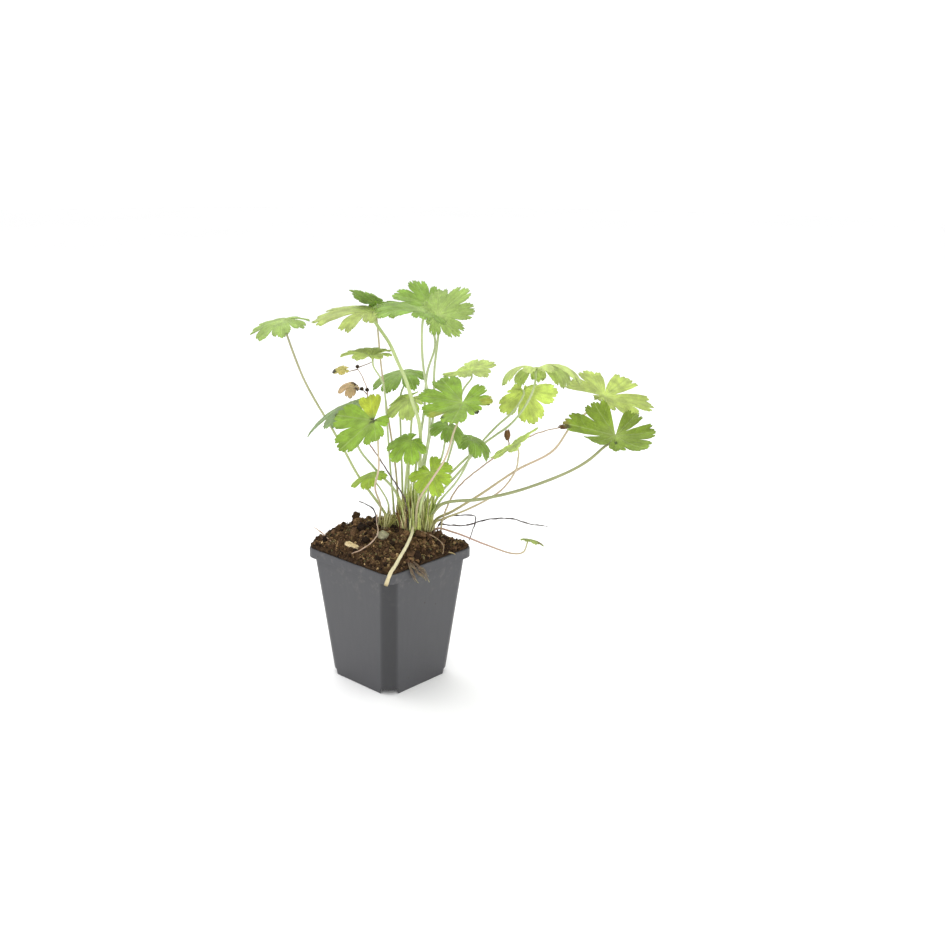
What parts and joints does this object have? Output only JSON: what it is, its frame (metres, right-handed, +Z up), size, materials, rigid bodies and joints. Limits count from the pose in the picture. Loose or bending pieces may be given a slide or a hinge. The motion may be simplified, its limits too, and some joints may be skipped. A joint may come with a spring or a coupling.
{
  "type": "hardy geranium in a square pot",
  "caption": "Young clump-forming hardy geranium with lobed, toothed leaves on long thin stalks, growing in its square nursery pot of soil.",
  "frame": {"origin": "middle of the pot's foot, on the surface that the pot stands on", "axes": "+Z up; X and Y square to the pot's sides, with the plant's front over the corner between +X and -Y"},
  "size_m": [0.2563, 0.2106, 0.2834],
  "materials": {
    "leaf_green": "matt, finely hairy",
    "leaf_pale": "matt, light passing through",
    "leaf_dark": "matt, finely hairy",
    "stalk_green": "satin, finely hairy",
    "stalk_pink": "satin, finely hairy",
    "young_shoots": "satin",
    "crown": "rough, fibrous",
    "dry_stem": "matt, dry",
    "withered_tan": "matt, papery",
    "withered_yellow": "matt, papery",
    "dead_stalk": "matt, dry",
    "runner": "satin",
    "broken_stem": "satin, pale",
    "roots": "fibrous",
    "pebble": "rough",
    "wood_chip": "rough",
    "soil": "moist and crumbly",
    "pot": "satin, grey"
  },
  "bodies": {
    "root": {"blade_far_left": "leaf_green", "stalk_far_left": "stalk_pink", "blade_top_left": "leaf_green", "stalk_top_left": "stalk_green", "blade_top_front": "leaf_green", "stalk_top_front": "stalk_green", "blade_top_back": "leaf_green", "stalk_top_back": "stalk_green", "blade_top_right": "leaf_green", "stalk_top_right": "stalk_green", "leaf_small_high": "leaf_green", "blade_dark_arch": "leaf_dark", "stalk_dark_arch": "stalk_green", "blade_yellow_lobe": "leaf_green", "stalk_yellow_lobe": "stalk_pink", "blade_grey_edge": "leaf_dark", "stalk_grey_edge": "stalk_green", "blade_light_mid": "leaf_pale", "stalk_light_mid": "stalk_green", "blade_big_front": "leaf_green", "stalk_big_front": "stalk_pink", "blade_pale_upper": "leaf_pale", "stalk_pale_upper": "stalk_green", "blade_dark_mid": "leaf_dark", "stalk_dark_mid": "stalk_green", "blade_arch_left": "leaf_dark", "stalk_arch_left": "stalk_green", "blade_arch_right": "leaf_dark", "stalk_arch_right": "stalk_green", "blade_folded_right": "leaf_pale", "stalk_folded_right": "stalk_pink", "leaf_bright_low": "leaf_green", "blade_right_hang": "leaf_pale", "stalk_right_hang": "stalk_green", "blade_right_arch": "leaf_green", "stalk_right_arch": "stalk_green", "blade_far_right": "leaf_pale", "stalk_far_right": "stalk_pink", "blade_front_right": "leaf_green", "stalk_front_right": "stalk_green", "leaf_low_left": "leaf_green", "stalk_top_fold": "stalk_pink", "withered_spray": "dry_stem", "withered_leaf_tan": "withered_tan", "withered_leaf_yellow": "withered_yellow", "old_flower_stem": "dry_stem", "dead_stalks_right": "dead_stalk", "dead_stalk_left": "dead_stalk", "runner": "runner", "broken_stem": "broken_stem", "pebble": "pebble", "wood_chip": "wood_chip", "root_fringe": "roots", "crown": "crown", "young_shoots_left": "young_shoots", "young_shoots_right": "young_shoots", "pot": "pot", "soil": "soil"}
  },
  "joints": []
}
